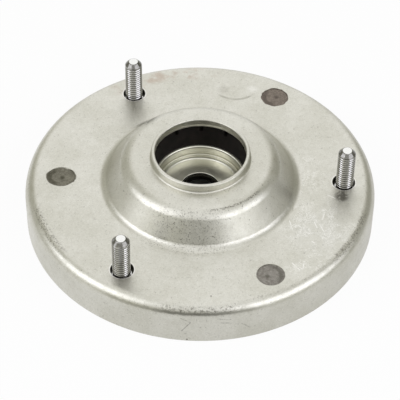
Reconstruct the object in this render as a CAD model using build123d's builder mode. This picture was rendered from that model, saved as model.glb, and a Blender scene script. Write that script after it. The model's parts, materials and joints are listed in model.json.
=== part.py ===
# Strut support mount: a skirted and domed steel housing with three studs and a rubber-held rod cup.
# Millimetres, +Z up. The origin is on the mount's axis, in the plane of the skirt's lower rim.
import os
from math import atan2, cos, isclose, radians, sin, tan

from build123d import *

os.makedirs("parts", exist_ok=True)

# Upper shell, one drawn sheet; its rim lies a fixed margin outside the circle of the studs
stud_circle_radius = 65.7
rim_margin = 14.0
shell_wall = 2.5
flange_height = 19.7
rim_fillet = 5.5
rim_edge_break = 0.6
dome_foot_radius = 44.0
dome_crown_radius = 34.1
dome_rise = 13.6
dome_foot_fillet = 4.5
dome_crown_fillet = 8.0

# Collar burred up out of the dome's top, drawn thinner than the sheet
collar_bore_radius = 20.5
collar_wall = 1.8
collar_rise = 3.9
collar_foot_fillet = 0.9
collar_lip_fillet = 0.6
collar_burr_fillet = 4.1

# Lower shell, which carries the studs and is drawn down into a pan for the lower rubber
plate_wall = 2.5
plate_rim_gap = 3.7
pan_taper = 2.9
pan_bend = 3.0
pan_floor_clearance = 3.0
pan_hole_radius = 28.0
sheared_edge_break = 0.4

# Studs, pressed into the lower shell from below
stud_count = 3
stud_radius = 4.0
stud_reach = 20.0
stud_tip_radius = 2.25
stud_tip_bevel = 2.0
stud_neck_radius = 3.6
stud_shoulder_radius = 4.5
stud_press_clearance = 0.02
stud_head_radius = 6.75
stud_head_height = 2.4
stud_head_chamfer = 0.5

# Clearance holes of the upper shell, on a slightly smaller circle than the studs
stud_hole_clearance = 1.05
stud_hole_inset = 0.35
stud_hole_edge_fillet = 0.35

# Spot welds between the shells: distance outside the stud circle and azimuth of each, a little uneven
weld_places = ((0.1, 58.6), (-2.3, 180.6), (0.1, 298.9))
weld_dimple_radius = 6.2
weld_dimple_depth = 0.25

# Rod cup with its flange between the two rubbers, and the thin liner in it
core_wall = 3.0
well_radius = 19.3
well_depth = 7.4
core_rim_fillet = 0.9
core_foot_fillet = 1.5
core_flange_radius = 33.0
rod_bore_radius = 8.0
rod_bore_chamfer = 0.4
liner_wall = 1.0
liner_height = 3.4
liner_fit = 0.03
liner_hole_gap = 0.6
liner_foot_fillet = 1.1
liner_edge_fillet = 0.33

# Rubbers, each seated flat between a shell and the core's flange
upper_rubber_height = 9.4
upper_rubber_foot_bore = 20.6
upper_rubber_head_bore = 23.0
upper_rubber_foot_radius = 32.0
upper_rubber_head_radius = 29.4
rubber_edge_fillet = 0.8
notch_count = 12
notch_width = 1.6
notch_depth = 1.4
notch_height = 2.4
lower_rubber_bore = 23.6
lower_rubber_lip_gap = 1.2
lower_rubber_waist_radius = 32.4
lower_rubber_foot_gap = 3.4

# Heights and radii that follow from the sizes above
dish_radius = stud_circle_radius + rim_margin
plate_top = flange_height - shell_wall
plate_underside = plate_top - plate_wall
dome_top = flange_height + dome_rise
dome_underside = dome_top - shell_wall
collar_top = dome_top + collar_rise
collar_radius = collar_bore_radius + collar_wall
plate_radius = dish_radius - shell_wall - plate_rim_gap
pan_floor = pan_floor_clearance + plate_wall
pan_floor_radius = dome_foot_radius - pan_taper
core_top = dome_underside - upper_rubber_height
core_underside = core_top - core_wall
well_floor = core_top - well_depth
core_bottom = well_floor - core_wall
liner_top = well_floor + liner_height
liner_radius = well_radius - liner_fit
stud_hole_radius = stud_radius + stud_hole_clearance
stud_top = flange_height + stud_reach


def wall_shift(wall, rise, run):
    """Sideways shift of a bend's corner from one skin of a sheet to the other."""
    return wall * tan(atan2(rise, run) / 2)


# Upper shell: outer skin from the skirt's rim to the collar's lip, then the inner skin back
dome_shift = wall_shift(shell_wall, dome_rise, dome_foot_radius - dome_crown_radius)
with BuildPart() as upper_shell:
    with BuildSketch(Plane.XZ):
        with BuildLine():
            FilletPolyline(
                (dish_radius, 0),
                (dish_radius, flange_height),
                (dome_foot_radius, flange_height),
                (dome_crown_radius, dome_top),
                (collar_radius, dome_top),
                (collar_radius, collar_top),
                (collar_bore_radius, collar_top),
                (collar_bore_radius, dome_underside),
                (dome_crown_radius - dome_shift, dome_underside),
                (dome_foot_radius - dome_shift, plate_top),
                (dish_radius - shell_wall, plate_top),
                (dish_radius - shell_wall, 0),
                radius=[
                    rim_edge_break,
                    rim_fillet,
                    dome_foot_fillet,
                    dome_crown_fillet,
                    collar_foot_fillet,
                    collar_lip_fillet,
                    collar_lip_fillet,
                    collar_burr_fillet,
                    dome_crown_fillet - shell_wall,
                    dome_foot_fillet + shell_wall,
                    rim_fillet - shell_wall,
                    rim_edge_break,
                ],
                close=True,
            )
        make_face()
    revolve(axis=Axis.Z)
    with BuildSketch(Plane.XY.offset(flange_height)):
        with PolarLocations(stud_circle_radius - stud_hole_inset, stud_count):
            Circle(stud_hole_radius)
    extrude(amount=-shell_wall, mode=Mode.SUBTRACT)
    hole_edges = upper_shell.edges().filter_by(GeomType.CIRCLE).filter_by(
        lambda edge: isclose(edge.radius, stud_hole_radius)
    )
    fillet(hole_edges.group_by(Axis.Z)[-1], stud_hole_edge_fillet)
    with BuildSketch(Plane.XY.offset(flange_height)):
        for offset_out, azimuth in weld_places:
            with PolarLocations(stud_circle_radius + offset_out, 1, start_angle=azimuth):
                Circle(weld_dimple_radius)
    extrude(amount=-weld_dimple_depth, mode=Mode.SUBTRACT)
upper_shell.part.label = "upper_shell"
export_step(upper_shell.part, "parts/upper_shell.step")

# Lower shell: flat flange under the upper one, drawn down in the middle to an inward lip
pan_shift = wall_shift(plate_wall, plate_top - pan_floor, pan_taper)
with BuildPart() as lower_shell:
    with BuildSketch(Plane.XZ):
        with BuildLine():
            FilletPolyline(
                (plate_radius, plate_top),
                (dome_foot_radius, plate_top),
                (pan_floor_radius, pan_floor),
                (pan_hole_radius, pan_floor),
                (pan_hole_radius, pan_floor_clearance),
                (pan_floor_radius + pan_shift, pan_floor_clearance),
                (dome_foot_radius + pan_shift, plate_underside),
                (plate_radius, plate_underside),
                radius=[
                    sheared_edge_break,
                    pan_bend + plate_wall,
                    pan_bend,
                    sheared_edge_break,
                    sheared_edge_break,
                    pan_bend + plate_wall,
                    pan_bend,
                    sheared_edge_break,
                ],
                close=True,
            )
        make_face()
    revolve(axis=Axis.Z)
    with BuildSketch(Plane.XY.offset(plate_top)):
        with PolarLocations(stud_circle_radius, stud_count):
            Circle(stud_shoulder_radius + stud_press_clearance)
    extrude(amount=-plate_wall, mode=Mode.SUBTRACT)
    with BuildSketch(Plane.XY.offset(plate_underside)):
        for offset_out, azimuth in weld_places:
            with PolarLocations(stud_circle_radius + offset_out, 1, start_angle=azimuth):
                Circle(weld_dimple_radius)
    extrude(amount=weld_dimple_depth, mode=Mode.SUBTRACT)
lower_shell.part.label = "lower_shell"
export_step(lower_shell.part, "parts/lower_shell.step")

# Studs: flat head under the lower shell, press shoulder in its hole, then the plain neck that is left
# under a rolled thread as far as the flange's top, and the threaded length above
for number in range(stud_count):
    azimuth = radians(number * 360 / stud_count)
    foot = Plane(origin=(stud_circle_radius * cos(azimuth), stud_circle_radius * sin(azimuth), 0))
    with BuildPart() as stud:
        with BuildSketch(foot.offset(plate_underside)):
            Circle(stud_head_radius)
        extrude(amount=-stud_head_height)
        chamfer(stud.faces().sort_by(Axis.Z)[0].edges(), stud_head_chamfer)
        with BuildSketch(foot.offset(plate_underside)):
            Circle(stud_shoulder_radius)
        extrude(amount=plate_wall)
        with BuildSketch(foot.offset(plate_top)):
            Circle(stud_neck_radius)
        extrude(amount=flange_height - plate_top)
        with BuildSketch(foot.offset(flange_height)):
            Circle(stud_radius)
        extrude(amount=stud_reach)
        tip = stud.faces().sort_by(Axis.Z)[-1]
        chamfer(tip.edges(), stud_tip_bevel, stud_radius - stud_tip_radius, reference=tip)
    stud.part.label = f"stud_{number + 1}"
    export_step(stud.part, f"parts/{stud.part.label}.step")

# Rod cup: bored floor, upright wall and the flange that the rubbers grip
with BuildPart() as core_cup:
    with BuildSketch(Plane.XZ):
        with BuildLine():
            FilletPolyline(
                (core_flange_radius, core_top),
                (well_radius, core_top),
                (well_radius, well_floor),
                (rod_bore_radius, well_floor),
                (rod_bore_radius, core_bottom),
                (well_radius + core_wall, core_bottom),
                (well_radius + core_wall, core_underside),
                (core_flange_radius, core_underside),
                radius=[
                    core_rim_fillet,
                    core_rim_fillet,
                    core_foot_fillet,
                    0,
                    0,
                    core_foot_fillet + core_wall,
                    core_foot_fillet,
                    core_rim_fillet,
                ],
                close=True,
            )
        make_face()
    revolve(axis=Axis.Z)
    bore_edges = core_cup.edges().filter_by(GeomType.CIRCLE).filter_by(
        lambda edge: isclose(edge.radius, rod_bore_radius)
    )
    chamfer(bore_edges, rod_bore_chamfer)
core_cup.part.label = "core_cup"
export_step(core_cup.part, "parts/core_cup.step")

# Seat liner: thin pressed cup nested on the rod cup's floor
with BuildPart() as seat_liner:
    with BuildSketch(Plane.XZ):
        with BuildLine():
            FilletPolyline(
                (rod_bore_radius + liner_hole_gap, well_floor),
                (liner_radius, well_floor),
                (liner_radius, liner_top),
                (liner_radius - liner_wall, liner_top),
                (liner_radius - liner_wall, well_floor + liner_wall),
                (rod_bore_radius + liner_hole_gap, well_floor + liner_wall),
                radius=[
                    0,
                    liner_foot_fillet + liner_wall,
                    liner_edge_fillet,
                    liner_edge_fillet,
                    liner_foot_fillet,
                    liner_edge_fillet,
                ],
                close=True,
            )
        make_face()
    revolve(axis=Axis.Z)
seat_liner.part.label = "seat_liner"
export_step(seat_liner.part, "parts/seat_liner.step")

# Upper rubber: coned ring under the dome, with small relief notches round its top edge
with BuildPart() as upper_rubber:
    with BuildSketch(Plane.XZ):
        with BuildLine():
            FilletPolyline(
                (upper_rubber_foot_bore, core_top),
                (upper_rubber_foot_radius, core_top),
                (upper_rubber_head_radius, dome_underside),
                (upper_rubber_head_bore, dome_underside),
                radius=[0, rubber_edge_fillet, rubber_edge_fillet, 0],
                close=True,
            )
        make_face()
    revolve(axis=Axis.Z)
    with BuildSketch(Plane.XY.offset(dome_underside)):
        with PolarLocations(upper_rubber_head_bore, notch_count):
            Rectangle(2 * notch_depth, notch_width)
    extrude(amount=-notch_height, mode=Mode.SUBTRACT)
upper_rubber.part.label = "upper_rubber"
export_step(upper_rubber.part, "parts/upper_rubber.step")

# Lower rubber: waisted ring between the core's flange and the pan's floor
lower_rubber_foot_bore = pan_hole_radius + lower_rubber_lip_gap
lower_rubber_foot_radius = pan_floor_radius - lower_rubber_foot_gap
with BuildPart() as lower_rubber:
    with BuildSketch(Plane.XZ):
        with BuildLine():
            FilletPolyline(
                (lower_rubber_bore, core_underside),
                (lower_rubber_waist_radius, core_underside),
                (lower_rubber_foot_radius, pan_floor),
                (lower_rubber_foot_bore, pan_floor),
                radius=[rubber_edge_fillet] * 4,
                close=True,
            )
        make_face()
    revolve(axis=Axis.Z)
lower_rubber.part.label = "lower_rubber"
export_step(lower_rubber.part, "parts/lower_rubber.step")
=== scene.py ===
# Strut support mount: zinc plated shells, threaded studs, rod cup and rubbers, in a small studio
import json
from math import atan2, cos, hypot, pi, radians, sin, tan

import bmesh
import bpy
from mathutils import Matrix, Vector


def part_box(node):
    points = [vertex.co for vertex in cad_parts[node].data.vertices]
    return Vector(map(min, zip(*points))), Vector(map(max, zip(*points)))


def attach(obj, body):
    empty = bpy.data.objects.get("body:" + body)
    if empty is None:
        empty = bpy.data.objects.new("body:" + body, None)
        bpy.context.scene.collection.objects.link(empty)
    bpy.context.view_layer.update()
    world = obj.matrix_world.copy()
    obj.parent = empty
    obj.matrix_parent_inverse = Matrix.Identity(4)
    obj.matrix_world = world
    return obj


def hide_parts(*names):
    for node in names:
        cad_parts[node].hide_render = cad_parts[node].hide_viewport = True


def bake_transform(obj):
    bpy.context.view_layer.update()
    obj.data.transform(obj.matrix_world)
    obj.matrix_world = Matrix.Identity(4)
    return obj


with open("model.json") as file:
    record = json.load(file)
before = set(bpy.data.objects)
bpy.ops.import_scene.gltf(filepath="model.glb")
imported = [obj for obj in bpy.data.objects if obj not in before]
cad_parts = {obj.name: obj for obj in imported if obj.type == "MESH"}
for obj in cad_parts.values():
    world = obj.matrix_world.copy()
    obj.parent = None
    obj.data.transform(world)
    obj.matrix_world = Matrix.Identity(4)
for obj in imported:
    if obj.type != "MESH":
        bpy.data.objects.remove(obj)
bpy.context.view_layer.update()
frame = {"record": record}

mm = 0.001
mounts = {mount["name"]: mount for mount in frame["record"]["mounts"]}


def low(node):
    """Height of a solid's lowest point."""
    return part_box(node)[0][2]


def high(node):
    """Height of a solid's highest point."""
    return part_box(node)[1][2]


def outside(node):
    """Outside radius of a solid that is round about the mount's axis."""
    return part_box(node)[1][0]


# Sizes that the frame holds
flange_height = mounts["studs"]["pos_m"][2]
stud_circle_radius = mounts["studs"]["dims"]["pcd_mm"] / 2 * mm
stud_count = mounts["studs"]["dims"]["count"]
stud_radius = mounts["studs"]["dims"]["stud_r_mm"] * mm
collar_radius = mounts["cap_collar"]["dims"]["r_mm"] * mm
rod_bore_radius = mounts["rod_bore"]["dims"]["r_mm"] * mm
dish_radius = outside("upper_shell")
collar_top = high("upper_shell")
dome_underside = high("upper_rubber")
plate_radius = outside("lower_shell")
plate_top = high("lower_shell")
pan_underside = low("lower_shell")
pan_floor = low("lower_rubber")
core_flange_radius = outside("core_cup")
core_top = high("core_cup")
core_bottom = low("core_cup")
core_underside = high("lower_rubber")
well_floor = low("seat_liner")
liner_top = high("seat_liner")
liner_radius = outside("seat_liner")
stud_top = high("stud_1")
stud_foot = low("stud_1")
shell_wall = flange_height - plate_top
plate_wall = pan_floor - pan_underside
dome_top = dome_underside + shell_wall
plate_underside = plate_top - plate_wall

# Upper shell
dome_foot_radius = 44.0 * mm
dome_crown_radius = 34.1 * mm
dome_foot_fillet = 4.5 * mm
dome_crown_fillet = 8.0 * mm
rim_fillet = 5.5 * mm
rim_edge_break = 0.6 * mm
collar_bore_radius = 20.5 * mm
collar_foot_fillet = 0.9 * mm
collar_lip_fillet = 0.6 * mm
collar_burr_fillet = 4.1 * mm
stud_hole_clearance = 1.05 * mm
stud_hole_inset = 0.35 * mm
stud_hole_edge = 0.35 * mm

# Spot welds: distance outside the stud circle and azimuth of each
weld_places = ((0.1 * mm, 58.6), (-2.3 * mm, 180.6), (0.1 * mm, 298.9))
weld_radius = 6.2 * mm
weld_depth = 0.25 * mm
weld_wall_lean = 0.12 * mm

# Lower shell
pan_taper = 2.9 * mm
pan_bend = 3.0 * mm
pan_hole_radius = 28.0 * mm
sheared_edge_break = 0.4 * mm

# Studs
stud_head_radius = 6.75 * mm
stud_head_edge = 0.5 * mm
stud_shoulder_radius = 4.5 * mm
stud_neck_radius = 3.6 * mm
thread_run_out = 1.2 * mm
stud_tip_radius = 2.25 * mm
stud_tip_bevel = 2.0 * mm
stud_tip_rounding = 1.1 * mm
thread_pitch = 1.25 * mm
thread_root_radius = 3.69 * mm
thread_root_width = 0.2 * mm
thread_mouth_width = 1.05 * mm
press_clearance = 0.02 * mm

# Rod cup and liner
core_wall = well_floor - core_bottom
well_radius = 19.3 * mm
core_rim_fillet = 0.9 * mm
core_foot_fillet = 1.5 * mm
rod_bore_edge = 0.4 * mm
liner_wall = 1.0 * mm
liner_hole_radius = 8.6 * mm
liner_foot_fillet = 1.1 * mm
liner_edge_fillet = 0.33 * mm

# Rubbers
upper_foot_bore = 20.6 * mm
upper_head_bore = 23.0 * mm
upper_foot_radius = 32.0 * mm
upper_head_radius = 29.4 * mm
rubber_edge_fillet = 0.8 * mm
notch_count = 12
notch_width = 1.6 * mm
notch_depth = 1.4 * mm
notch_height = 2.4 * mm
lower_head_bore = 23.6 * mm
lower_waist_radius = 32.4 * mm
lower_lip_gap = 1.2 * mm
lower_foot_gap = 3.4 * mm

# Fineness of the turned meshes
steps_round = 256
steps_round_stud = 64
thread_steps = 40
degrees_per_facet = 7.5
same_place = 0.004 * mm
merge_distance = 0.001 * mm


# Modelling steps


def select_only(piece):
    """Leaves this piece alone selected and active, in object mode."""
    if bpy.context.object and bpy.context.object.mode != "OBJECT":
        bpy.ops.object.mode_set(mode="OBJECT")
    bpy.ops.object.select_all(action="DESELECT")
    piece.select_set(True)
    bpy.context.view_layer.objects.active = piece


def settle(piece):
    """Puts a piece's place, turn and size into its mesh."""
    select_only(piece)
    bpy.ops.object.transform_apply(location=True, rotation=True, scale=True)


def select_ring(piece, radius, height):
    """Selects the edges that run round the axis at this radius and height, in edit mode."""
    mesh = bmesh.from_edit_mesh(piece.data)
    for edge in mesh.edges:
        edge.select_set(False)
    for edge in mesh.edges:
        off_height = max(abs(corner.co.z - height) for corner in edge.verts)
        off_radius = max(abs(hypot(corner.co.x, corner.co.y) - radius) for corner in edge.verts)
        if off_height < same_place and off_radius < same_place:
            edge.select_set(True)
    bmesh.update_edit_mesh(piece.data)


def bend_angle(before, corner, after):
    """Angle by which a section turns at one of its corners."""
    arriving = atan2(corner[1] - before[1], corner[0] - before[0])
    leaving = atan2(after[1] - corner[1], after[0] - corner[0])
    turn = abs(leaving - arriving)
    return min(turn, 2 * pi - turn)


def round_corner(piece, before, corner, after):
    """Bevels one ring of a turned piece to its rounding."""
    turn = bend_angle(before, corner, after)
    select_ring(piece, corner[0], corner[1])
    bpy.ops.mesh.bevel(
        offset_type="OFFSET",
        offset=corner[2] * tan(turn / 2),
        segments=max(3, round(turn / radians(degrees_per_facet))),
        profile=0.5,
        affect="EDGES",
    )


def turn_section(name, section, bored=True, steps=steps_round):
    """Turns a section of (radius, height, rounding) corners: a circle is extruded ring by ring.

    A bored piece closes on its first ring. A piece with no bore is closed by a disc at each end.
    """
    bpy.ops.object.select_all(action="DESELECT")
    radius, height, _ = section[0]
    bpy.ops.mesh.primitive_circle_add(
        vertices=steps,
        radius=radius,
        fill_type="NOTHING" if bored else "NGON",
        location=(0, 0, height),
    )
    piece = bpy.context.object
    piece.name = piece.data.name = name
    settle(piece)
    bpy.ops.object.mode_set(mode="EDIT")
    bpy.ops.mesh.select_mode(type="EDGE")
    bpy.ops.mesh.select_all(action="SELECT")
    rings = section[1:] + section[:1] if bored else section[1:]
    for next_radius, next_height, _ in rings:
        bpy.ops.mesh.extrude_edges_move(TRANSFORM_OT_translate={"value": (0, 0, next_height - height)})
        bpy.ops.transform.resize(value=(next_radius / radius, next_radius / radius, 1))
        radius, height = next_radius, next_height
    if not bored:
        bpy.ops.mesh.edge_face_add()
    bpy.ops.mesh.select_all(action="SELECT")
    bpy.ops.mesh.remove_doubles(threshold=merge_distance)
    bpy.ops.mesh.normals_make_consistent(inside=False)
    for number, corner in enumerate(section):
        if corner[2]:
            before = section[number - 1] if bored or number else (0, corner[1], 0)
            last = number == len(section) - 1
            after = (0, corner[1], 0) if last and not bored else section[(number + 1) % len(section)]
            round_corner(piece, before, corner, after)
    bpy.ops.object.mode_set(mode="OBJECT")
    return piece


def copies_round_axis(pattern, names, circle_radius, azimuths):
    """Copies a piece to places round the mount's axis, with a mesh each, and removes the pattern."""
    copies = []
    for name, azimuth in zip(names, azimuths):
        select_only(pattern)
        bpy.ops.object.duplicate(linked=False)
        copy = bpy.context.object
        copy.name = copy.data.name = name
        copy.location = (circle_radius * cos(radians(azimuth)), circle_radius * sin(radians(azimuth)), 0)
        copy.rotation_euler.z = radians(azimuth)
        settle(copy)
        copies.append(copy)
    bpy.data.objects.remove(pattern)
    return copies


def cut_away(piece, *cutters):
    """Cuts the cutters out of a piece and throws them away."""
    for cutter in cutters:
        select_only(piece)
        modifier = piece.modifiers.new("cut", "BOOLEAN")
        modifier.operation = "DIFFERENCE"
        modifier.solver = "EXACT"
        modifier.object = cutter
        bpy.ops.object.modifier_apply(modifier=modifier.name)
        bpy.data.objects.remove(cutter)


def smooth(piece, sharpest=35):
    """Smooth shading that keeps flats flat and edges sharp."""
    select_only(piece)
    bpy.ops.object.shade_smooth_by_angle(angle=radians(sharpest))
    modifier = piece.modifiers.new("flats", "WEIGHTED_NORMAL")
    modifier.keep_sharp = True
    bpy.ops.object.modifier_apply(modifier=modifier.name)


def finish_piece(piece, finish, node, body=None):
    """Gives a piece its finish, hides the solid that it stands for and seats it on its body, if it has one.
    """
    piece.data.materials.clear()
    piece.data.materials.append(finish)
    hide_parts(node)
    if body:
        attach(piece, body)


def wall_shift(wall, rise, run):
    """Sideways shift of a bend's corner from one skin of a sheet to the other."""
    return wall * tan(atan2(rise, run) / 2)


# Pieces


def hole_cutter():
    """A plug the size of a stud hole, flared at the flange's top so that it leaves a rounded edge."""
    hole_radius = stud_radius + stud_hole_clearance
    facets = 5
    flare = []
    for step in range(facets + 1):
        lean = radians(80) * step / facets
        flare.append(
            (
                hole_radius + stud_hole_edge * (1 - cos(lean)),
                flange_height - stud_hole_edge * (1 - sin(lean)),
                0,
            )
        )
    flare_radius = flare[-1][0]
    section = [(hole_radius, plate_top - mm, 0)] + flare + [(flare_radius, flange_height + mm, 0)]
    return turn_section("hole cutter", section, bored=False, steps=steps_round_stud)


def weld_cutter(surface, into):
    """A disc that presses one electrode mark into a shell's face."""
    section = [
        (weld_radius - weld_wall_lean, surface + into * weld_depth, 0),
        (weld_radius, surface, 0),
        (weld_radius, surface - into * mm, 0),
    ]
    return turn_section("weld cutter", section, bored=False, steps=steps_round_stud)


def press_weld_marks(piece, surface, into):
    """Sinks the three weld marks into a shell's face."""
    for offset_out, azimuth in weld_places:
        cutter = weld_cutter(surface, into)
        cut_away(piece, *copies_round_axis(cutter, ["mark"], stud_circle_radius + offset_out, [azimuth]))


def stud_azimuths():
    return [number * 360 / stud_count for number in range(stud_count)]


def model_upper_shell():
    """The drawn housing: skirt, flange, dome and burred collar in one sheet."""
    shift = wall_shift(shell_wall, dome_top - flange_height, dome_foot_radius - dome_crown_radius)
    skirt_inside = dish_radius - shell_wall
    section = [
        (dish_radius, 0, rim_edge_break),
        (dish_radius, flange_height, rim_fillet),
        (dome_foot_radius, flange_height, dome_foot_fillet),
        (dome_crown_radius, dome_top, dome_crown_fillet),
        (collar_radius, dome_top, collar_foot_fillet),
        (collar_radius, collar_top, collar_lip_fillet),
        (collar_bore_radius, collar_top, collar_lip_fillet),
        (collar_bore_radius, dome_underside, collar_burr_fillet),
        (dome_crown_radius - shift, dome_underside, dome_crown_fillet - shell_wall),
        (dome_foot_radius - shift, plate_top, dome_foot_fillet + shell_wall),
        (skirt_inside, plate_top, rim_fillet - shell_wall),
        (skirt_inside, 0, rim_edge_break),
    ]
    shell = turn_section("zinc_upper_shell", section)
    cutters = copies_round_axis(
        hole_cutter(),
        [f"hole {number}" for number in range(stud_count)],
        stud_circle_radius - stud_hole_inset,
        stud_azimuths(),
    )
    cut_away(shell, *cutters)
    press_weld_marks(shell, flange_height, -1)
    smooth(shell)
    return shell


def model_lower_shell():
    """The plate under the flange, drawn down to the pan that holds the lower rubber."""
    pan_floor_radius = dome_foot_radius - pan_taper
    shift = wall_shift(plate_wall, plate_top - pan_floor, pan_taper)
    section = [
        (plate_radius, plate_top, sheared_edge_break),
        (dome_foot_radius, plate_top, pan_bend + plate_wall),
        (pan_floor_radius, pan_floor, pan_bend),
        (pan_hole_radius, pan_floor, sheared_edge_break),
        (pan_hole_radius, pan_underside, sheared_edge_break),
        (pan_floor_radius + shift, pan_underside, pan_bend + plate_wall),
        (dome_foot_radius + shift, plate_underside, pan_bend),
        (plate_radius, plate_underside, sheared_edge_break),
    ]
    plate = turn_section("zinc_lower_shell", section)
    shoulder_hole = turn_section(
        "shoulder cutter",
        [
            (stud_shoulder_radius + press_clearance, plate_underside - mm, 0),
            (stud_shoulder_radius + press_clearance, plate_top + mm, 0),
        ],
        bored=False,
        steps=steps_round_stud,
    )
    names = [f"shoulder {number}" for number in range(stud_count)]
    cut_away(plate, *copies_round_axis(shoulder_hole, names, stud_circle_radius, stud_azimuths()))
    press_weld_marks(plate, plate_underside, 1)
    smooth(plate)
    return plate


def groove_cutter():
    """The thread's groove: a closed section led up round the stud's axis."""
    start = plate_top + thread_run_out / 2
    mouth_radius = stud_radius + 0.02 * mm
    clear_radius = stud_radius + 0.6 * mm
    bpy.ops.object.select_all(action="DESELECT")
    bpy.ops.mesh.primitive_plane_add(
        size=1,
        location=((thread_root_radius + mouth_radius) / 2, 0, start),
        rotation=(pi / 2, 0, 0),
    )
    groove = bpy.context.object
    groove.scale = (mouth_radius - thread_root_radius, thread_root_width, 1)
    settle(groove)
    bpy.ops.object.mode_set(mode="EDIT")
    bpy.ops.mesh.select_mode(type="EDGE")
    select_ends_beyond(groove, mouth_radius)
    bpy.ops.transform.resize(value=(1, 1, thread_mouth_width / thread_root_width))
    bpy.ops.mesh.extrude_edges_move(TRANSFORM_OT_translate={"value": (clear_radius - mouth_radius, 0, 0)})
    bpy.ops.mesh.select_all(action="SELECT")
    bpy.ops.mesh.dissolve_faces()
    bpy.ops.mesh.select_all(action="SELECT")
    bpy.ops.mesh.delete(type="ONLY_FACE")
    bpy.ops.object.mode_set(mode="OBJECT")
    lead = groove.modifiers.new("lead", "SCREW")
    lead.screw_offset = thread_pitch
    lead.iterations = int((stud_top - start) / thread_pitch) + 2
    lead.steps = lead.render_steps = thread_steps
    bpy.ops.object.modifier_apply(modifier=lead.name)
    bpy.ops.object.mode_set(mode="EDIT")
    bpy.ops.mesh.select_all(action="DESELECT")
    bpy.ops.mesh.select_non_manifold()
    bpy.ops.mesh.edge_face_add()
    bpy.ops.mesh.select_all(action="SELECT")
    bpy.ops.mesh.normals_make_consistent(inside=False)
    bpy.ops.object.mode_set(mode="OBJECT")
    return groove


def select_ends_beyond(piece, reach):
    """Selects the edges whose ends lie at least as far out as this, in edit mode."""
    mesh = bmesh.from_edit_mesh(piece.data)
    for edge in mesh.edges:
        edge.select_set(False)
    for edge in mesh.edges:
        if all(corner.co.x > reach - same_place for corner in edge.verts):
            edge.select_set(True)
    bmesh.update_edit_mesh(piece.data)


def model_studs():
    """One threaded stud, turned and then cut by its groove, copied to the three places."""
    head_face = plate_underside
    section = [
        (stud_head_radius - stud_head_edge, stud_foot, 0),
        (stud_head_radius, stud_foot + stud_head_edge, 0),
        (stud_head_radius, head_face, 0),
        (stud_shoulder_radius, head_face, 0),
        (stud_shoulder_radius, plate_top, 0),
        (stud_neck_radius, plate_top, 0),
        (stud_neck_radius, plate_top + thread_run_out / 2, 0),
        (stud_radius, plate_top + thread_run_out, 0),
        (stud_radius, stud_top - stud_tip_bevel, stud_tip_rounding),
        (stud_tip_radius, stud_top, stud_tip_rounding),
    ]
    stud = turn_section("stud", section, bored=False, steps=steps_round_stud)
    cut_away(stud, groove_cutter())
    smooth(stud, sharpest=28)
    names = [f"threaded_stud_{number + 1}" for number in range(stud_count)]
    return copies_round_axis(stud, names, stud_circle_radius, stud_azimuths())


def model_rod_cup():
    """The cup that the rod's nut sits in, with the flange that the rubbers grip."""
    section = [
        (core_flange_radius, core_top, core_rim_fillet),
        (well_radius, core_top, core_rim_fillet),
        (well_radius, well_floor, core_foot_fillet),
        (rod_bore_radius + rod_bore_edge, well_floor, 0),
        (rod_bore_radius, well_floor - rod_bore_edge, 0),
        (rod_bore_radius, core_bottom + rod_bore_edge, 0),
        (rod_bore_radius + rod_bore_edge, core_bottom, 0),
        (well_radius + core_wall, core_bottom, core_foot_fillet + core_wall),
        (well_radius + core_wall, core_underside, core_foot_fillet),
        (core_flange_radius, core_underside, core_rim_fillet),
    ]
    cup = turn_section("rod_cup", section)
    smooth(cup)
    return cup


def model_liner():
    """The thin pressed liner nested on the cup's floor."""
    section = [
        (liner_hole_radius, well_floor, 0),
        (liner_radius, well_floor, liner_foot_fillet + liner_wall),
        (liner_radius, liner_top, liner_edge_fillet),
        (liner_radius - liner_wall, liner_top, liner_edge_fillet),
        (liner_radius - liner_wall, well_floor + liner_wall, liner_foot_fillet),
        (liner_hole_radius, well_floor + liner_wall, liner_edge_fillet),
    ]
    liner = turn_section("cup_liner", section)
    smooth(liner)
    return liner


def level_rings(foot, head, count):
    """Rings spaced evenly between two corners of a section, both left out."""
    rings = []
    for step in range(1, count):
        share = step / count
        rings.append((foot[0] + (head[0] - foot[0]) * share, foot[1] + (head[1] - foot[1]) * share, 0))
    return rings


def model_upper_rubber():
    """Coned rubber ring under the dome, with small relief notches round its top edge."""
    foot_in = (upper_foot_bore, core_top, 0)
    foot_out = (upper_foot_radius, core_top, rubber_edge_fillet)
    head_out = (upper_head_radius, dome_underside, rubber_edge_fillet)
    head_in = (upper_head_bore, dome_underside, 0)
    section = [foot_in, foot_out, head_out, head_in] + level_rings(head_in, foot_in, 6)
    rubber = turn_section("upper_rubber_ring", section)
    bpy.ops.object.select_all(action="DESELECT")
    bpy.ops.mesh.primitive_cube_add(size=1, location=(0, 0, dome_underside))
    notch = bpy.context.object
    notch.scale = (2 * notch_depth, notch_width, 2 * notch_height)
    settle(notch)
    names = [f"notch {number}" for number in range(notch_count)]
    azimuths = [number * 360 / notch_count for number in range(notch_count)]
    cut_away(rubber, *copies_round_axis(notch, names, upper_head_bore, azimuths))
    smooth(rubber)
    return rubber


def model_lower_rubber():
    """Waisted rubber ring between the cup's flange and the pan's floor."""
    foot_radius = dome_foot_radius - pan_taper - lower_foot_gap
    foot_bore = pan_hole_radius + lower_lip_gap
    head_in = (lower_head_bore, core_underside, rubber_edge_fillet)
    head_out = (lower_waist_radius, core_underside, rubber_edge_fillet)
    foot_out = (foot_radius, pan_floor, rubber_edge_fillet)
    foot_in = (foot_bore, pan_floor, rubber_edge_fillet)
    section = [head_in, head_out] + level_rings(head_out, foot_out, 8) + [foot_out, foot_in]
    section += level_rings(foot_in, head_in, 8)
    rubber = turn_section("lower_rubber_ring", section)
    smooth(rubber)
    return rubber


# Building blocks of the finishes


def feed(tree, socket, value):
    """Sets a socket, or links it if the value comes from another node."""
    if isinstance(value, bpy.types.NodeSocket):
        tree.links.new(value, socket)
    else:
        socket.default_value = value


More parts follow.
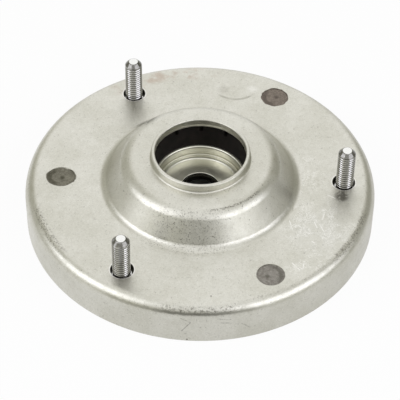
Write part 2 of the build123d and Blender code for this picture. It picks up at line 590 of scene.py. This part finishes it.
def maths(tree, operation, *values):
    node = tree.nodes.new("ShaderNodeMath")
    node.operation = operation
    for socket, value in zip(node.inputs, values):
        feed(tree, socket, value)
    return node.outputs[0]


def vector_maths(tree, operation, *values, result=0):
    node = tree.nodes.new("ShaderNodeVectorMath")
    node.operation = operation
    for socket, value in zip(node.inputs, values):
        feed(tree, socket, value)
    return node.outputs[result]


def fade(tree, value, start, end, start_value=0.0, end_value=1.0):
    """Eases from one value to another while the input goes from start to end."""
    node = tree.nodes.new("ShaderNodeMapRange")
    node.interpolation_type = "SMOOTHSTEP"
    node.clamp = True
    for socket, number in zip(node.inputs, (value, start, end, start_value, end_value)):
        feed(tree, socket, number)
    return node.outputs[0]


def band(tree, value, centre, half_width, soft):
    """1 within half_width of the centre, easing to 0 over the soft distance."""
    off = maths(tree, "ABSOLUTE", maths(tree, "SUBTRACT", value, centre))
    return fade(tree, off, half_width, half_width + soft, 1.0, 0.0)


def times(tree, *factors):
    product = factors[0]
    for factor in factors[1:]:
        product = maths(tree, "MULTIPLY", product, factor)
    return product


def either(tree, *masks):
    largest = masks[0]
    for mask in masks[1:]:
        largest = maths(tree, "MAXIMUM", largest, mask)
    return largest


def grain(tree, place, per_mm, detail=2.0, roughness=0.5, distortion=0.0):
    """Noise about 0.5 with this many features to the millimetre."""
    node = tree.nodes.new("ShaderNodeTexNoise")
    feed(tree, node.inputs["Vector"], place)
    node.inputs["Scale"].default_value = per_mm
    node.inputs["Detail"].default_value = detail
    node.inputs["Roughness"].default_value = roughness
    node.inputs["Distortion"].default_value = distortion
    return node.outputs[0]


def tint(tree, factor, base, over):
    """Mixes two colours by a factor."""
    node = tree.nodes.new("ShaderNodeMix")
    node.data_type = "RGBA"
    feed(tree, node.inputs[0], factor)
    for socket, colour in ((node.inputs[6], base), (node.inputs[7], over)):
        feed(tree, socket, colour if isinstance(colour, bpy.types.NodeSocket) else (*colour, 1.0))
    return node.outputs[2]


def bump(tree, height, distance):
    """A normal bumped by a height field whose full range is this deep, in metres."""
    node = tree.nodes.new("ShaderNodeBump")
    node.inputs["Strength"].default_value = 1.0
    node.inputs["Distance"].default_value = distance
    feed(tree, node.inputs["Height"], height)
    return node.outputs[0]


def new_finish(name):
    """A material with its node tree, its shader and its place in millimetres."""
    finish = bpy.data.materials.new(name)
    finish.use_nodes = True
    tree = finish.node_tree
    shader = tree.nodes["Principled BSDF"]
    coordinates = tree.nodes.new("ShaderNodeTexCoord")
    place = vector_maths(tree, "MULTIPLY", coordinates.outputs["Object"], (1000.0, 1000.0, 1000.0))
    return finish, tree, shader, place


def split(tree, place):
    node = tree.nodes.new("ShaderNodeSeparateXYZ")
    feed(tree, node.inputs[0], place)
    return node.outputs[0], node.outputs[1], node.outputs[2]


def distance_to(tree, place, x, y):
    """Distance in plan from a point, in millimetres."""
    flat = vector_maths(tree, "MULTIPLY", place, (1.0, 1.0, 0.0))
    return vector_maths(tree, "DISTANCE", flat, (x, y, 0.0), result=1)


def azimuth_of(tree, x, y):
    """Azimuth in degrees, from -180 to 180."""
    return maths(tree, "MULTIPLY", maths(tree, "ARCTAN2", y, x), 180 / pi)


def join(tree, x, y, z=0.0):
    node = tree.nodes.new("ShaderNodeCombineXYZ")
    for socket, value in zip(node.inputs, (x, y, z)):
        feed(tree, socket, value)
    return node.outputs[0]


def stroke(tree, chart, start, end, half_width=0.12, soft=0.22):
    """A straight scratch from one place to another on a flat chart of a surface, in millimetres."""
    middle = Vector(start).lerp(Vector(end), 0.5)
    run = Vector(end) - Vector(start)
    way = run.normalized()
    from_middle = vector_maths(tree, "SUBTRACT", chart, (middle.x, middle.y, 0.0))
    along = vector_maths(tree, "DOT_PRODUCT", from_middle, (way.x, way.y, 0.0), result=1)
    across = vector_maths(tree, "DOT_PRODUCT", from_middle, (-way.y, way.x, 0.0), result=1)
    within_length = band(tree, along, 0.0, run.length / 2, soft)
    within_width = band(tree, across, 0.0, half_width, soft)
    return times(tree, within_length, within_width)


def blot(tree, place, x, y, radius, soft):
    """1 inside a round patch in plan, easing to 0 at its edge."""
    return fade(tree, distance_to(tree, place, x, y), radius, radius + soft, 1.0, 0.0)


# Finishes

# Tones
zinc_tone = (0.612, 0.602, 0.538)
zinc_shade = (0.53, 0.522, 0.45)
zinc_light = (0.682, 0.674, 0.615)
# Bare zinc of scratches and specks, also painted highlights on the stud holes' edges
bare_zinc_and_glint_tone = (0.92, 0.91, 0.88)
haze_tone = (0.62, 0.63, 0.64)
# Grime specks, also painted shade at the flange's dent
zinc_grime_and_shade = (0.33, 0.32, 0.27)
cup_tone = (0.70, 0.69, 0.585)
# Painted shade in the stud holes and in the rod's bore
hole_shade_tone = (0.03, 0.028, 0.02)
stain_tone = (0.47, 0.39, 0.32)
# Dark scuffs and pits, also painted shade and painted reflections on the rim and beside the right stud
scuff_and_shade_tone = (0.13, 0.12, 0.10)
stud_tone = (0.51, 0.505, 0.49)
stud_shade = (0.38, 0.37, 0.35)
# Painted shade for the studs' bevels and thread roots, and a painted highlight for their tip faces
stud_bevel_shade_tone = (0.20, 0.195, 0.18)
stud_face_highlight_tone = (0.80, 0.80, 0.78)
thread_root_shade = (0.10, 0.095, 0.085)
rubber_tone = (0.006, 0.005, 0.004)
rubber_bloom = (0.014, 0.010, 0.008)

# Roughness and depth of the grain
housing_roughness = 0.37
plate_roughness = 0.44
cup_roughness = 0.32
sheet_grain = 0.03 * mm
cup_grain = 0.004 * mm
stud_grain = 0.01 * mm
rubber_grain = 0.02 * mm

# Levels and radii of the finishes, in millimetres
flange_level = flange_height / mm
skirt_radius = dish_radius / mm
stud_hole_radius = (stud_radius + stud_hole_clearance) / mm

# Marked stretches of rim, flange and dome: middle, half spread and softness, in degrees of azimuth
front_line_spread = (-92.0, 8.0, 10.0)
side_line_spread = (-95.0, 21.0, 8.0)
above_line_spread = (-89.0, 9.0, 8.0)
right_rub_spread = (-27.0, 9.0, 7.0)
left_rub_spread = (-153.0, 7.0, 8.0)
right_line_spread = (-58.0, 14.0, 8.0)
back_stain_spread = (106.0, 12.0, 12.0)
pitted_slope_spread = (-97.0, 12.0, 22.0)
crown_line_spread = (-60.0, 18.0, 10.0)

# Their heights and radii: middle, half width and softness, in millimetres
rim_line_height = (17.0, 0.25, 0.6)
above_line_height = (18.2, 0.5, 0.8)
right_rub_ring = (76.2, 1.0, 1.0)
left_rub_ring = (75.4, 1.2, 1.0)
right_line_ring = (75.6, 0.2, 0.5)
back_stain_ring = (72.5, 2.0, 4.0)
pitted_slope_ring = (40.0, 5.5, 3.0)
crown_ring = (35.0, 3.0, 5.0)
crown_line_ring = (32.8, 0.2, 0.6)

# Patches on the flange: place, radius and softness, in millimetres
haze_patch = (52.0, -32.0, 4.0, 14.0)
print_patch = (9.8, 60.9, 1.0, 3.0)
pale_patch = (23.7, 61.6, 0.5, 3.0)
grime_and_reflection_patch = (64.1, -9.1, 1.8, 2.4)
black_dot = (6.2, -70.7, 0.15, 0.4)
worn_front_right = (53.0, -27.0, 8.0, 16.0)
worn_by_weld = (50.0, -49.0, 6.0, 12.0)
worn_by_dome = (46.0, 4.0, 6.0, 12.0)

# The shallow round dent at the back of the flange, whose front edge has painted shade, in millimetres
dent_centre = (15.5, 65.3)
dent_shade_ring = (11.2, 0.25, 0.7)

# Scratches through the plating on the flange: both ends of each, in millimetres from the axis
flange_scratches = (
    ((57.8, -8.4), (61.1, -10.5)),
    ((56.0, -20.5), (54.9, -24.1)),
    ((57.7, -22.1), (60.0, -22.0)),
    ((50.1, -37.4), (51.4, -38.5)),
    ((41.1, -50.4), (44.5, -54.6)),
    ((46.1, -50.9), (46.1, -53.0)),
    ((40.3, -24.9), (41.5, -30.1)),
    ((44.3, -27.9), (45.2, -28.7)),
    ((51.4, -25.5), (52.6, -29.3)),
    ((53.8, -27.0), (55.4, -31.1)),
)

# Dark scratches on the skirt: both ends of each, as millimetres to the right of the front and height
skirt_scratches = (
    ((-6.6, 14.7), (-2.3, 12.5)),
    ((-2.3, 12.5), (-6.2, 6.5)),
    ((19.7, 10.2), (23.6, 6.4)),
    ((9.0, 14.7), (15.0, 13.5)),
    ((10.7, 11.9), (14.6, 11.3)),
)
skirt_knock = ((-4.0, 1.2), (-3.6, 1.2))
skirt_streak_height = (7.0, 5.0, 3.0)

# Radius and softness of the burnt spot and the pale patch of a weld, in millimetres
weld_spot_size = (0.3, 1.4)
weld_pale_size = (0.8, 1.8)

# Looks of the welds: tones, stretch of the outline, places of spot and pale patch, dark side in degrees
weld_looks = (
    {
        "main": (0.16, 0.137, 0.114),
        "light": (0.26, 0.22, 0.185),
        "dark": (0.085, 0.07, 0.06),
        "stretch": (0.96, 0.97),
        "spot": (0.8, 0.1),
        "pale": (-3.0, -1.5),
        "dark_side": 200.0,
    },
    {
        "main": (0.135, 0.127, 0.10),
        "light": (0.225, 0.215, 0.168),
        "dark": (0.05, 0.046, 0.03),
        "stretch": (0.89, 1.06),
        "spot": (0.6, -0.4),
        "pale": (3.4, 0.0),
        "dark_side": 185.0,
    },
    {
        "main": (0.205, 0.19, 0.167),
        "light": (0.315, 0.30, 0.27),
        "dark": (0.105, 0.10, 0.08),
        "stretch": (1.0, 1.0),
        "spot": (-1.4, -0.8),
        "pale": (0.4, 0.6),
        "dark_side": 20.0,
    },
)


def satin_zinc(name, roughness):
    """The plated sheet that all the pressings share: tone, roughness and fine grain."""
    finish, tree, shader, place = new_finish(name)
    clouds = grain(tree, place, 0.05, detail=3.0)
    patches = grain(tree, place, 0.35, detail=3.0, roughness=0.6)
    speckle = grain(tree, place, 2.6, detail=2.0, roughness=0.7)
    pepper = grain(tree, place, 1.2, detail=3.0, roughness=0.8)
    tone = tint(tree, fade(tree, clouds, 0.35, 0.65), zinc_shade, zinc_light)
    tone = tint(tree, 0.6, tone, zinc_tone)
    tone = tint(tree, times(tree, fade(tree, patches, 0.5, 0.72), 0.3), tone, zinc_shade)
    tone = tint(tree, times(tree, fade(tree, speckle, 0.56, 0.7), 0.7), tone, zinc_light)
    tone = tint(tree, times(tree, fade(tree, speckle, 0.42, 0.3), 0.45), tone, zinc_grime_and_shade)
    tone = tint(tree, fade(tree, pepper, 0.47, 0.37, 0.0, 0.12), tone, zinc_grime_and_shade)
    tone = tint(tree, fade(tree, pepper, 0.53, 0.63, 0.0, 0.13), tone, bare_zinc_and_glint_tone)
    dull = maths(tree, "ADD", fade(tree, patches, 0.3, 0.7, -0.04, 0.05), roughness)
    height = maths(tree, "ADD", times(tree, speckle, 0.35), times(tree, patches, 0.65))
    shader.inputs["Metallic"].default_value = 1.0
    return finish, tree, shader, place, tone, dull, height


def scuff_and_shade_rim(tree, place, tone):
    """The shoulder of the rim: a thin black line at the front, partly scuffs and partly a painted reflection
    of the dark low surroundings, with rubbed specks beside it.
    """
    x, y, z = split(tree, place)
    azimuth = azimuth_of(tree, x, y)
    radius = distance_to(tree, place, 0.0, 0.0)
    ragged = grain(tree, place, 0.5, detail=4.0, roughness=0.7)
    fine = grain(tree, place, 1.3, detail=4.0, roughness=0.75)
    height = maths(tree, "ADD", z, fade(tree, ragged, 0.3, 0.7, -0.3, 0.3))
    front = times(tree, band(tree, azimuth, *front_line_spread), 0.5)
    sides = times(tree, band(tree, azimuth, *side_line_spread), 0.3)
    # The front line is partly scuffs and partly a painted reflection of the dark horizon.
    line = times(tree, band(tree, height, *rim_line_height), either(tree, front, sides))
    line = times(tree, line, fade(tree, fine, 0.3, 0.5, 0.55, 1.0))
    above = times(tree, band(tree, z, *above_line_height), band(tree, azimuth, *above_line_spread))
    right_rub = times(tree, band(tree, azimuth, *right_rub_spread), band(tree, radius, *right_rub_ring))
    left_rub = times(tree, band(tree, azimuth, *left_rub_spread), band(tree, radius, *left_rub_ring))
    # A painted shade line where the fillet starts on the right, speckled like a rub.
    right_line = times(tree, band(tree, azimuth, *right_line_spread), band(tree, radius, *right_line_ring))
    rubs = either(tree, above, right_rub, left_rub, times(tree, right_line, 0.5))
    specks = times(tree, rubs, fade(tree, fine, 0.5, 0.6), 0.75)
    return tint(tree, either(tree, line, specks), tone, scuff_and_shade_tone)


def scratch_skirt(tree, place, tone):
    """Dark scratches and knocks on the front of the skirt, and faint ones all round."""
    x, y, z = split(tree, place)
    from_front = maths(tree, "ADD", azimuth_of(tree, x, y), 90.0)
    along = times(tree, from_front, radians(1) * skirt_radius)
    chart = join(tree, along, z)
    broken = fade(tree, grain(tree, place, 1.6, detail=3.0, roughness=0.7), 0.35, 0.55)
    scratches = either(tree, *(stroke(tree, chart, start, end) for start, end in skirt_scratches))
    knock = stroke(tree, chart, *skirt_knock, half_width=0.4)
    streaks = grain(tree, join(tree, times(tree, along, 0.12), z), 1.1, detail=3.0, roughness=0.7)
    streaks = times(tree, fade(tree, streaks, 0.62, 0.75), band(tree, z, *skirt_streak_height), 0.35)
    marks = either(tree, times(tree, scratches, broken, 0.5), times(tree, knock, 0.8), streaks)
    on_skirt = fade(tree, distance_to(tree, place, 0.0, 0.0), skirt_radius - 1.0, skirt_radius - 0.6)
    return tint(tree, times(tree, marks, on_skirt), tone, scuff_and_shade_tone)


def scratch_flange(tree, place, tone):
    """Bright scratches, a hazy patch, old stains, painted shade along a shallow round dent, and a dark patch
    by the right stud, partly grime and partly its painted reflection, on the flange.
    """
    x, y, z = split(tree, place)
    azimuth = azimuth_of(tree, x, y)
    radius = distance_to(tree, place, 0.0, 0.0)
    near_top = fade(tree, z, flange_level - 0.7, flange_level - 0.2)
    on_flange = times(tree, near_top, fade(tree, radius, dome_foot_radius / mm, dome_foot_radius / mm + 3.0))
    wander = grain(tree, place, 0.16, detail=3.0)
    curl = grain(tree, place, 0.45, detail=3.0, roughness=0.6, distortion=1.6)

    haze = times(tree, blot(tree, place, *haze_patch), fade(tree, wander, 0.35, 0.6, 0.3, 1.0))
    tone = tint(tree, times(tree, haze, on_flange, 0.12), tone, haze_tone)
    back_rim = times(tree, band(tree, azimuth, *back_stain_spread), band(tree, radius, *back_stain_ring))
    stains = times(tree, back_rim, fade(tree, wander, 0.45, 0.62), on_flange)
    tone = tint(tree, times(tree, stains, 0.7), tone, stain_tone)

    # Painted shade along the front edge of the shallow round dent.
    around = distance_to(tree, place, *dent_centre)
    near_arc = times(tree, band(tree, around, *dent_shade_ring), fade(tree, y, 58.0, 55.5))
    near_arc = times(tree, near_arc, fade(tree, wander, 0.3, 0.6, 0.35, 0.7))
    patch = times(tree, blot(tree, place, *print_patch), 0.3)
    tone = tint(tree, times(tree, either(tree, near_arc, patch), on_flange), tone, zinc_grime_and_shade)
    tone = tint(tree, times(tree, blot(tree, place, *pale_patch), on_flange, 0.3), tone, bare_zinc_and_glint_tone)
    # By the right stud: partly grime and partly a painted dark reflection of the stud.
    grime = times(tree, blot(tree, place, *grime_and_reflection_patch), fade(tree, curl, 0.36, 0.52), 0.75)
    dot = times(tree, blot(tree, place, *black_dot), 0.9)
    tone = tint(tree, times(tree, either(tree, grime, dot), on_flange), tone, scuff_and_shade_tone)

    hairs = band(tree, curl, 0.5, 0.014, 0.02)
    by_weld = times(tree, blot(tree, place, *worn_by_weld), 0.7)
    by_dome = times(tree, blot(tree, place, *worn_by_dome), 0.9)
    worn = either(tree, blot(tree, place, *worn_front_right), by_weld, by_dome, 0.15)
    hairs = times(tree, hairs, worn, fade(tree, wander, 0.41, 0.55), on_flange, 0.58)
    scratches = either(tree, *(stroke(tree, place, start, end) for start, end in flange_scratches))
    scratches = times(tree, scratches, on_flange, fade(tree, curl, 0.35, 0.6, 0.3, 0.65))
    return tint(tree, either(tree, scratches, hairs), tone, bare_zinc_and_glint_tone)


def speckle_dome(tree, place, tone):
    """Pits in the plating of the dome's front, and a rubbed line along its crown."""
    x, y, _ = split(tree, place)
    azimuth = azimuth_of(tree, x, y)
    radius = distance_to(tree, place, 0.0, 0.0)
    pits = grain(tree, place, 1.5, detail=3.0, roughness=0.8)
    few = grain(tree, place, 0.8, detail=3.0, roughness=0.8)
    on_slope = times(tree, band(tree, radius, *pitted_slope_ring), band(tree, azimuth, *pitted_slope_spread))
    crown_line = times(tree, band(tree, radius, *crown_line_ring), band(tree, azimuth, *crown_line_spread))
    crown_line = times(tree, fade(tree, pits, 0.46, 0.56), crown_line, 0.85)
    dark = times(tree, fade(tree, pits, 0.55, 0.64), on_slope, 0.85)
    crown = band(tree, radius, *crown_ring)
    sparse = times(tree, fade(tree, few, 0.62, 0.69), either(tree, times(tree, crown, 0.8), 0.45))
    return tint(tree, either(tree, dark, crown_line, sparse), tone, scuff_and_shade_tone)


def distance_to_stud(tree, place, inset=0.0):
    """Distance in plan from the nearest stud's axis, or from a point this much nearer the middle."""
    nearest = None
    for azimuth in stud_azimuths():
        out = (stud_circle_radius - inset) / mm
        one = distance_to(tree, place, out * cos(radians(azimuth)), out * sin(radians(azimuth)))
        nearest = one if nearest is None else maths(tree, "MINIMUM", nearest, one)
    return nearest


def paint_stud_hole_shade_and_glints(tree, place, tone):
    """Painted shade in the stud holes and on the plate that shows through them, and painted highlights on
    their rounded edges.
    """
    _, _, z = split(tree, place)
    away = distance_to_stud(tree, place, stud_hole_inset)
    near_top = fade(tree, z, flange_level - 0.7, flange_level - 0.4)
    # A painted highlight along each hole's rounded top edge.
    edge = band(tree, away, stud_hole_radius + stud_hole_edge / mm, 0.15, 0.25)
    tone = tint(tree, times(tree, edge, near_top, 0.6), tone, bare_zinc_and_glint_tone)
    # Painted shade inside each hole, in the dark gap round the stud.
    inside = fade(tree, away, stud_hole_radius + 0.02, stud_hole_radius + 0.12, 1.0, 0.0)
    depth = fade(tree, z, plate_underside / mm + 0.5, plate_top / mm - 0.5)
    return tint(tree, times(tree, inside, depth, 0.9), tone, hole_shade_tone)


def weld_mark(tree, place, centre, look):
    """Mask and tone of one spot weld's electrode mark."""
    offset = vector_maths(tree, "SUBTRACT", place, (*centre, 0.0))
    dx, dy, _ = split(tree, offset)
    shaped = vector_maths(tree, "MULTIPLY", offset, (*look["stretch"], 0.0))
    away = vector_maths(tree, "LENGTH", shaped, result=1)
    fine = grain(tree, place, 1.1, detail=4.0, roughness=0.75)
    cloud = grain(tree, place, 0.45, detail=3.0)
    away = maths(tree, "ADD", away, fade(tree, cloud, 0.3, 0.7, -0.16, 0.16))
    mask = fade(tree, away, 5.95, 6.4, 1.0, 0.0)
    tone = tint(tree, fade(tree, fine, 0.38, 0.68), look["main"], look["light"])
    pale = times(tree, blot(tree, offset, *look["pale"], *weld_pale_size), 0.45)
    tone = tint(tree, pale, tone, look["light"])
    side = look["dark_side"]
    turned = maths(tree, "ADD", times(tree, dx, cos(radians(side))), times(tree, dy, sin(radians(side))))
    arc = times(tree, band(tree, away, 4.6, 0.5, 0.8), fade(tree, turned, 0.5, 3.5))
    tone = tint(tree, times(tree, arc, 0.6), tone, look["dark"])
    tone = tint(tree, fade(tree, away, 5.2, 6.2, 0.0, 0.3), tone, look["dark"])
    spot = times(tree, blot(tree, offset, *look["spot"], *weld_spot_size), 0.75)
    return mask, tint(tree, spot, tone, look["dark"])


def upper_shell_finish():
    """Satin zinc with the spot welds, rubbed rim and handling marks of the housing."""
    finish, tree, shader, place, tone, dull, height = satin_zinc("zinc_housing", housing_roughness)
    tone = scuff_and_shade_rim(tree, place, tone)
    tone = scratch_skirt(tree, place, tone)
    tone = scratch_flange(tree, place, tone)
    tone = speckle_dome(tree, place, tone)
    tone = paint_stud_hole_shade_and_glints(tree, place, tone)
    _, _, z = split(tree, place)
    near_top = fade(tree, z, flange_level - 3.2, flange_level - 1.2)
    for (offset_out, weld_azimuth), look in zip(weld_places, weld_looks):
        out = (stud_circle_radius + offset_out) / mm
        centre = (out * cos(radians(weld_azimuth)), out * sin(radians(weld_azimuth)))
        mask, burnt = weld_mark(tree, place, centre, look)
        mask = times(tree, mask, near_top)
        tone = tint(tree, mask, tone, burnt)
        dull = maths(tree, "ADD", dull, times(tree, mask, 0.08))
    feed(tree, shader.inputs["Base Color"], tone)
    feed(tree, shader.inputs["Roughness"], dull)
    feed(tree, shader.inputs["Normal"], bump(tree, height, sheet_grain))
    return finish


def plate_finish():
    """Satin zinc of the lower shell, with painted shade where the stud holes show it."""
    finish, tree, shader, place, tone, dull, height = satin_zinc("zinc_plate", plate_roughness)
    feed(tree, shader.inputs["Base Color"], paint_stud_hole_shade_and_glints(tree, place, tone))
    feed(tree, shader.inputs["Roughness"], dull)
    feed(tree, shader.inputs["Normal"], bump(tree, height, sheet_grain))
    return finish


def cup_finish(name, shaded_radius):
    """Smoother zinc of the rod cup and its liner, with painted shade inside the rod's hole."""
    finish, tree, shader, place, tone, dull, height = satin_zinc(name, cup_roughness)
    radius = distance_to(tree, place, 0.0, 0.0)
    # Painted shade inside the rod's bore.
    bore = fade(tree, radius, shaded_radius - 0.1, shaded_radius, 1.0, 0.0)
    feed(tree, shader.inputs["Base Color"], tint(tree, bore, tint(tree, 0.7, tone, cup_tone), hole_shade_tone))
    feed(tree, shader.inputs["Roughness"], maths(tree, "ADD", dull, times(tree, bore, 0.3)))
    feed(tree, shader.inputs["Normal"], bump(tree, height, cup_grain))
    return finish


def stud_finish():
    """Plated steel with a painted highlight on the tip face, painted shade on the bevel, patchy with the
    noise, and painted shade in the thread's roots.
    """
    finish, tree, shader, place = new_finish("bright_stud_steel")
    grime = grain(tree, place, 1.2, detail=4.0, roughness=0.7)
    _, _, z = split(tree, place)
    away = distance_to_stud(tree, place)
    thread_foot = plate_top / mm
    thread_top = (stud_top - stud_tip_bevel) / mm
    root_radius = thread_root_radius / mm
    # Painted shade in the thread's roots.
    root = fade(tree, away, root_radius + 0.02, root_radius + 0.17, 0.9, 0.0)
    root = times(tree, root, fade(tree, z, thread_foot, thread_foot + 0.3))
    root = times(tree, root, fade(tree, z, thread_top, thread_top - 0.3))
    # Painted shade on the tip's bevel, patchy with the noise.
    bevel = times(tree, fade(tree, z, thread_top, thread_top + 0.3), fade(tree, grime, 0.3, 0.55, 0.6, 1.0))
    # A painted highlight on the flat tip face.
    face = fade(tree, z, stud_top / mm - 0.12, stud_top / mm - 0.04)
    tone = tint(tree, fade(tree, grime, 0.45, 0.75), stud_tone, stud_shade)
    tone = tint(tree, root, tone, thread_root_shade)
    tone = tint(tree, bevel, tone, stud_bevel_shade_tone)
    tone = tint(tree, face, tone, stud_face_highlight_tone)
    feed(tree, shader.inputs["Base Color"], tone)
    feed(tree, shader.inputs["Roughness"], fade(tree, grime, 0.3, 0.7, 0.12, 0.2))
    feed(tree, shader.inputs["Normal"], bump(tree, grime, stud_grain))
    shader.inputs["Metallic"].default_value = 1.0
    return finish


def rubber_finish():
    """Moulded brownish black rubber, matt with a dusty bloom."""
    finish, tree, shader, place = new_finish("moulded_rubber")
    bloom = grain(tree, place, 0.4, detail=3.0)
    skin = grain(tree, place, 4.0, detail=2.0)
    tone = tint(tree, fade(tree, bloom, 0.35, 0.75), rubber_tone, rubber_bloom)
    shader.inputs["Specular IOR Level"].default_value = 0.25
    feed(tree, shader.inputs["Base Color"], tone)
    feed(tree, shader.inputs["Roughness"], fade(tree, bloom, 0.3, 0.7, 0.5, 0.68))
    feed(tree, shader.inputs["Normal"], bump(tree, skin, rubber_grain))
    return finish


# Studio


room_tone = (1.0, 0.99, 0.84)
lamp_tone = (0.88, 0.89, 1.0)
paper_tone = (0.86, 0.86, 0.86, 1.0)
lamp_distance = 1.2
floor_size = 8
floor_drop = 0.05 * mm


def choose(tree, factor, without, with_it):
    """One number where the factor is 0 and the other where it is 1."""
    node = tree.nodes.new("ShaderNodeMix")
    for socket, value in zip((node.inputs[0], node.inputs[2], node.inputs[3]), (factor, without, with_it)):
        feed(tree, socket, value)
    return node.outputs[0]


def light_world():
    """White surroundings. Reflections see a bright strip from the back wall to overhead, in a dimmer room.

    The room is a little lighter at the front and dark low down behind the camera.
    """
    world = bpy.data.worlds.new("studio")
    bpy.context.scene.world = world
    world.use_nodes = True
    tree = world.node_tree
    rays = tree.nodes.new("ShaderNodeLightPath")
    coordinates = tree.nodes.new("ShaderNodeTexCoord")
    across, depth, up = split(tree, coordinates.outputs["Generated"])
    strip = times(tree, band(tree, across, 0.0, 0.28, 0.26), fade(tree, depth, -0.95, -0.7))
    strip_level = fade(tree, depth, -0.5, 0.3, 0.98, 1.15)
    side_level = fade(tree, across, -0.5, 0.5, 0.5, 0.38)
    room = maths(tree, "ADD", side_level, fade(tree, depth, 0.0, -0.5, 0.0, 0.15))
    dark = times(tree, band(tree, up, 0.25, 0.2, 0.12), band(tree, across, 0.0, 0.25, 0.3))
    dark = times(tree, dark, fade(tree, depth, -0.3, -0.6))
    room = choose(tree, dark, room, 0.12)
    reflected = either(tree, rays.outputs["Is Glossy Ray"], rays.outputs["Is Transmission Ray"])
    level = choose(tree, reflected, 0.55, choose(tree, strip, room, strip_level))
    level = choose(tree, rays.outputs["Is Camera Ray"], level, 1.0)
    plain = either(tree, strip, rays.outputs["Is Camera Ray"])
    background = tree.nodes["Background"]
    feed(tree, background.inputs["Strength"], level)
    feed(tree, background.inputs["Color"], tint(tree, plain, room_tone, (1.0, 1.0, 1.0)))


def turned_to(azimuth, elevation, roll):
    """Turn of a lamp or camera that looks at the middle from this azimuth and elevation, in degrees."""
    turn = Matrix.Rotation(radians(azimuth), 4, "Z") @ Matrix.Rotation(radians(90 - elevation), 4, "X")
    return turn @ Matrix.Rotation(radians(roll), 4, "Z")


def add_softbox(azimuth, elevation, width, height, roll):
    """A lamp that faces the mount from the lamps' distance, as bright to the eye at any size."""
    watts_per_square_metre = 6.6
    bpy.ops.object.light_add(type="AREA")
    lamp = bpy.context.object
    lamp.matrix_world = turned_to(azimuth, elevation, roll) @ Matrix.Translation((0, 0, lamp_distance))
    lamp.data.shape = "RECTANGLE"
    lamp.data.size = width
    lamp.data.size_y = height
    lamp.data.energy = watts_per_square_metre * width * height
    lamp.data.color = lamp_tone


def lay_floor():
    """A pale floor that shows as white and keeps a faint shadow; in reflections it glows, brighter towards
    the left, as painted light of the lamps on it.
    """
    bpy.ops.object.select_all(action="DESELECT")
    bpy.ops.mesh.primitive_plane_add(size=floor_size, location=(0, 0, -floor_drop))
    floor = bpy.context.object
    floor.name = floor.data.name = "studio_floor"
    settle(floor)
    paper = bpy.data.materials.new("white_paper")
    paper.use_nodes = True
    tree = paper.node_tree
    shader = tree.nodes["Principled BSDF"]
    shader.inputs["Base Color"].default_value = paper_tone
    shader.inputs["Roughness"].default_value = 0.9
    shader.inputs["Specular IOR Level"].default_value = 0.0
    rays = tree.nodes.new("ShaderNodeLightPath")
    coordinates = tree.nodes.new("ShaderNodeTexCoord")
    across, _, _ = split(tree, coordinates.outputs["Object"])
    from_axis = distance_to(tree, coordinates.outputs["Object"], 0.0, 0.0)
    outside_skirt = fade(tree, from_axis, dish_radius - shell_wall, dish_radius)
    reflected = either(tree, rays.outputs["Is Glossy Ray"], rays.outputs["Is Transmission Ray"])
    # Painted light: in reflections the floor glows more brightly towards the left.
    level = fade(tree, across, -1.3 * dish_radius, 0.2 * dish_radius, 0.94, 0.55)
    white = either(tree, times(tree, rays.outputs["Is Camera Ray"], 0.94), times(tree, reflected, level))
    glow = tree.nodes.new("ShaderNodeEmission")
    mixer = tree.nodes.new("ShaderNodeMixShader")
    feed(tree, mixer.inputs[0], times(tree, white, outside_skirt))
    feed(tree, mixer.inputs[1], shader.outputs[0])
    feed(tree, mixer.inputs[2], glow.outputs[0])
    feed(tree, tree.nodes["Material Output"].inputs["Surface"], mixer.outputs[0])
    floor.data.materials.append(paper)


def set_camera():
    """The camera at the picture's angle: a long lens, a little above 45 degrees and rolled slightly."""
    focal_pixels = 1789.0
    picture_pixels = 400.0
    sensor_width = 36.0
    distance = 824.7 * mm
    turn = turned_to(azimuth=0.66, elevation=45.744, roll=0.841)
    target = Matrix.Translation((0.044 * mm, 0.0, 5.868 * mm))
    bpy.ops.object.camera_add()
    camera = bpy.context.object
    camera.matrix_world = target @ turn @ Matrix.Translation((0, 0, distance))
    camera.data.sensor_width = sensor_width
    camera.data.lens = focal_pixels * sensor_width / picture_pixels
    camera.data.clip_start = 0.01
    camera.data.clip_end = 50
    bpy.context.scene.camera = camera


def build():
    """Makes every piece and gives it its finish; all but the two rubbers are seated on a body."""
    finish_piece(model_upper_shell(), upper_shell_finish(), "upper_shell", "housing")
    finish_piece(model_lower_shell(), plate_finish(), "lower_shell", "housing")
    bright = stud_finish()
    for number, stud in enumerate(model_studs()):
        finish_piece(stud, bright, f"stud_{number + 1}", "housing")
    cup = model_rod_cup()
    cup_zinc = cup_finish("zinc_cup", (rod_bore_radius + rod_bore_edge) / mm + 0.15)
    finish_piece(cup, cup_zinc, "core_cup", "rod_seat")
    liner = model_liner()
    liner_zinc = cup_finish("zinc_liner", liner_hole_radius / mm + 0.12)
    finish_piece(liner, liner_zinc, "seat_liner", "rod_seat")

    rubber = rubber_finish()
    upper = model_upper_rubber()
    finish_piece(upper, rubber, "upper_rubber")
    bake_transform(upper)
    lower = model_lower_rubber()
    finish_piece(lower, rubber, "lower_rubber")
    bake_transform(lower)


build()
lay_floor()
light_world()
add_softbox(azimuth=-70, elevation=40, width=1.05, height=0.72, roll=40)
add_softbox(azimuth=62, elevation=37.5, width=1.2, height=0.72, roll=0)
set_camera()
bpy.context.scene.view_settings.view_transform = "Standard"
